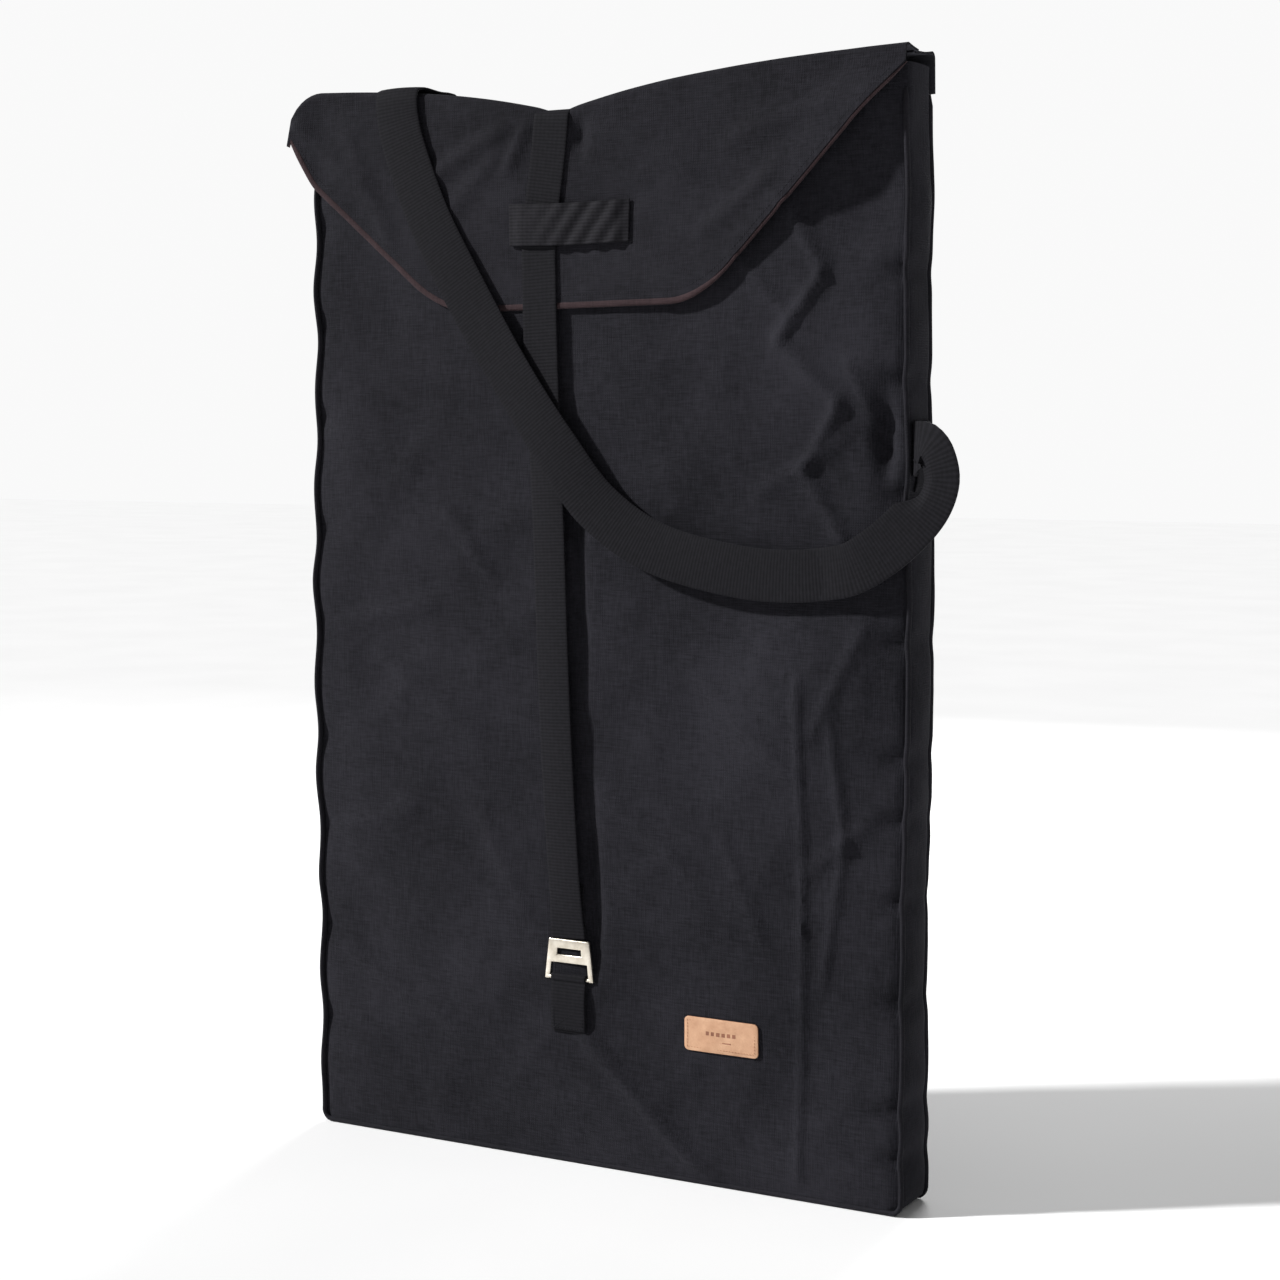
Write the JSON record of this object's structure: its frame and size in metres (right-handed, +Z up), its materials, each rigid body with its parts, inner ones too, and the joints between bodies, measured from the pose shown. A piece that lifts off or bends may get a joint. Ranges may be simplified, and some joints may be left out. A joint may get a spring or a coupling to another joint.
{
  "type": "garment bag",
  "caption": "Flat upright canvas garment bag with a bound envelope flap, webbing closing strap to a metal buckle, side-looped shoulder strap and leather label.",
  "frame": {"origin": "middle of the flat base, on the surface the bag stands on", "axes": "+Z up, -Y out of the front panel, +X to the right seen from the front"},
  "size_m": [0.7184, 0.0816, 1.0249],
  "materials": {
    "canvas": "plain-woven charcoal canvas, matt with a faint sheen",
    "seam_tape": "narrow woven tape, matt",
    "webbing": "ribbed charcoal webbing",
    "binding": "maroon bias binding",
    "board": "matt stiffener board",
    "buckle_metal": "pale nickel, satin",
    "leather": "vegetable-tanned tan, smooth"
  },
  "bodies": {
    "bag": {"front_panel": "canvas", "back_panel": "canvas", "left_gusset": "canvas", "right_gusset": "canvas", "base_gusset": "canvas", "base_board": "board", "front_seam_tape": "seam_tape", "back_seam_tape": "seam_tape", "mouth_hem": "canvas", "hanger_loop": "webbing", "garment_strap": "webbing", "closing_strap_back": "webbing", "buckle_anchor_strap": "webbing", "leather_label": "leather", "left_strap_patch": "seam_tape", "right_strap_patch": "seam_tape", "shoulder_strap_sewn_end": "webbing"},
    "flap_lid": {"flap_top": "canvas", "closing_strap_top": "webbing"},
    "flap_face": {"flap_front": "canvas", "flap_binding": "binding", "keeper_handle": "webbing", "closing_strap_front": "webbing"},
    "closing_tail": {"closing_strap_tail": "webbing", "closing_strap_doubled_end": "webbing"},
    "buckle": {"buckle_frame": "buckle_metal"},
    "shoulder_strap": {"shoulder_strap_front": "webbing", "shoulder_strap_over_top": "webbing", "shoulder_strap_back": "webbing", "shoulder_strap_side_loop": "webbing"}
  },
  "joints": [
    {"name": "flap_open", "type": "hinge", "parent": "bag", "child": "flap_lid", "pos_m": [0, 0.0285, 1.0205], "axis": [-1, 0, 0], "range_deg": [0, 175]},
    {"name": "flap_front_fold", "type": "hinge", "parent": "flap_lid", "child": "flap_face", "pos_m": [0, -0.0343, 1.0205], "axis": [-1, 0, 0], "range_deg": [0, 160]},
    {"name": "closing_strap_swing", "type": "hinge", "parent": "flap_face", "child": "closing_tail", "pos_m": [-0.0405, -0.0369, 0.6], "axis": [-1, 0, 0], "range_deg": [0, 55]},
    {"name": "buckle_tilt", "type": "hinge", "parent": "bag", "child": "buckle", "pos_m": [-0.022, -0.0369, 0.1795], "axis": [1, 0, 0], "range_deg": [0, 150]},
    {"name": "shoulder_strap_swing", "type": "hinge", "parent": "bag", "child": "shoulder_strap", "pos_m": [0.352, -0.01, 0.655], "axis": [-0.6973, -0.6973, -0.1659], "range_deg": [0, 153], "deforming": ["shoulder_strap_front", "shoulder_strap_over_top", "shoulder_strap_back", "shoulder_strap_side_loop", "shoulder_strap_sewn_end"]}
  ],
  "couplings": [
    {"joint": "flap_front_fold", "follows": "flap_open", "ratio": 0.914},
    {"joint": "shoulder_strap_swing", "follows": "flap_open", "ratio": 0.874}
  ]
}
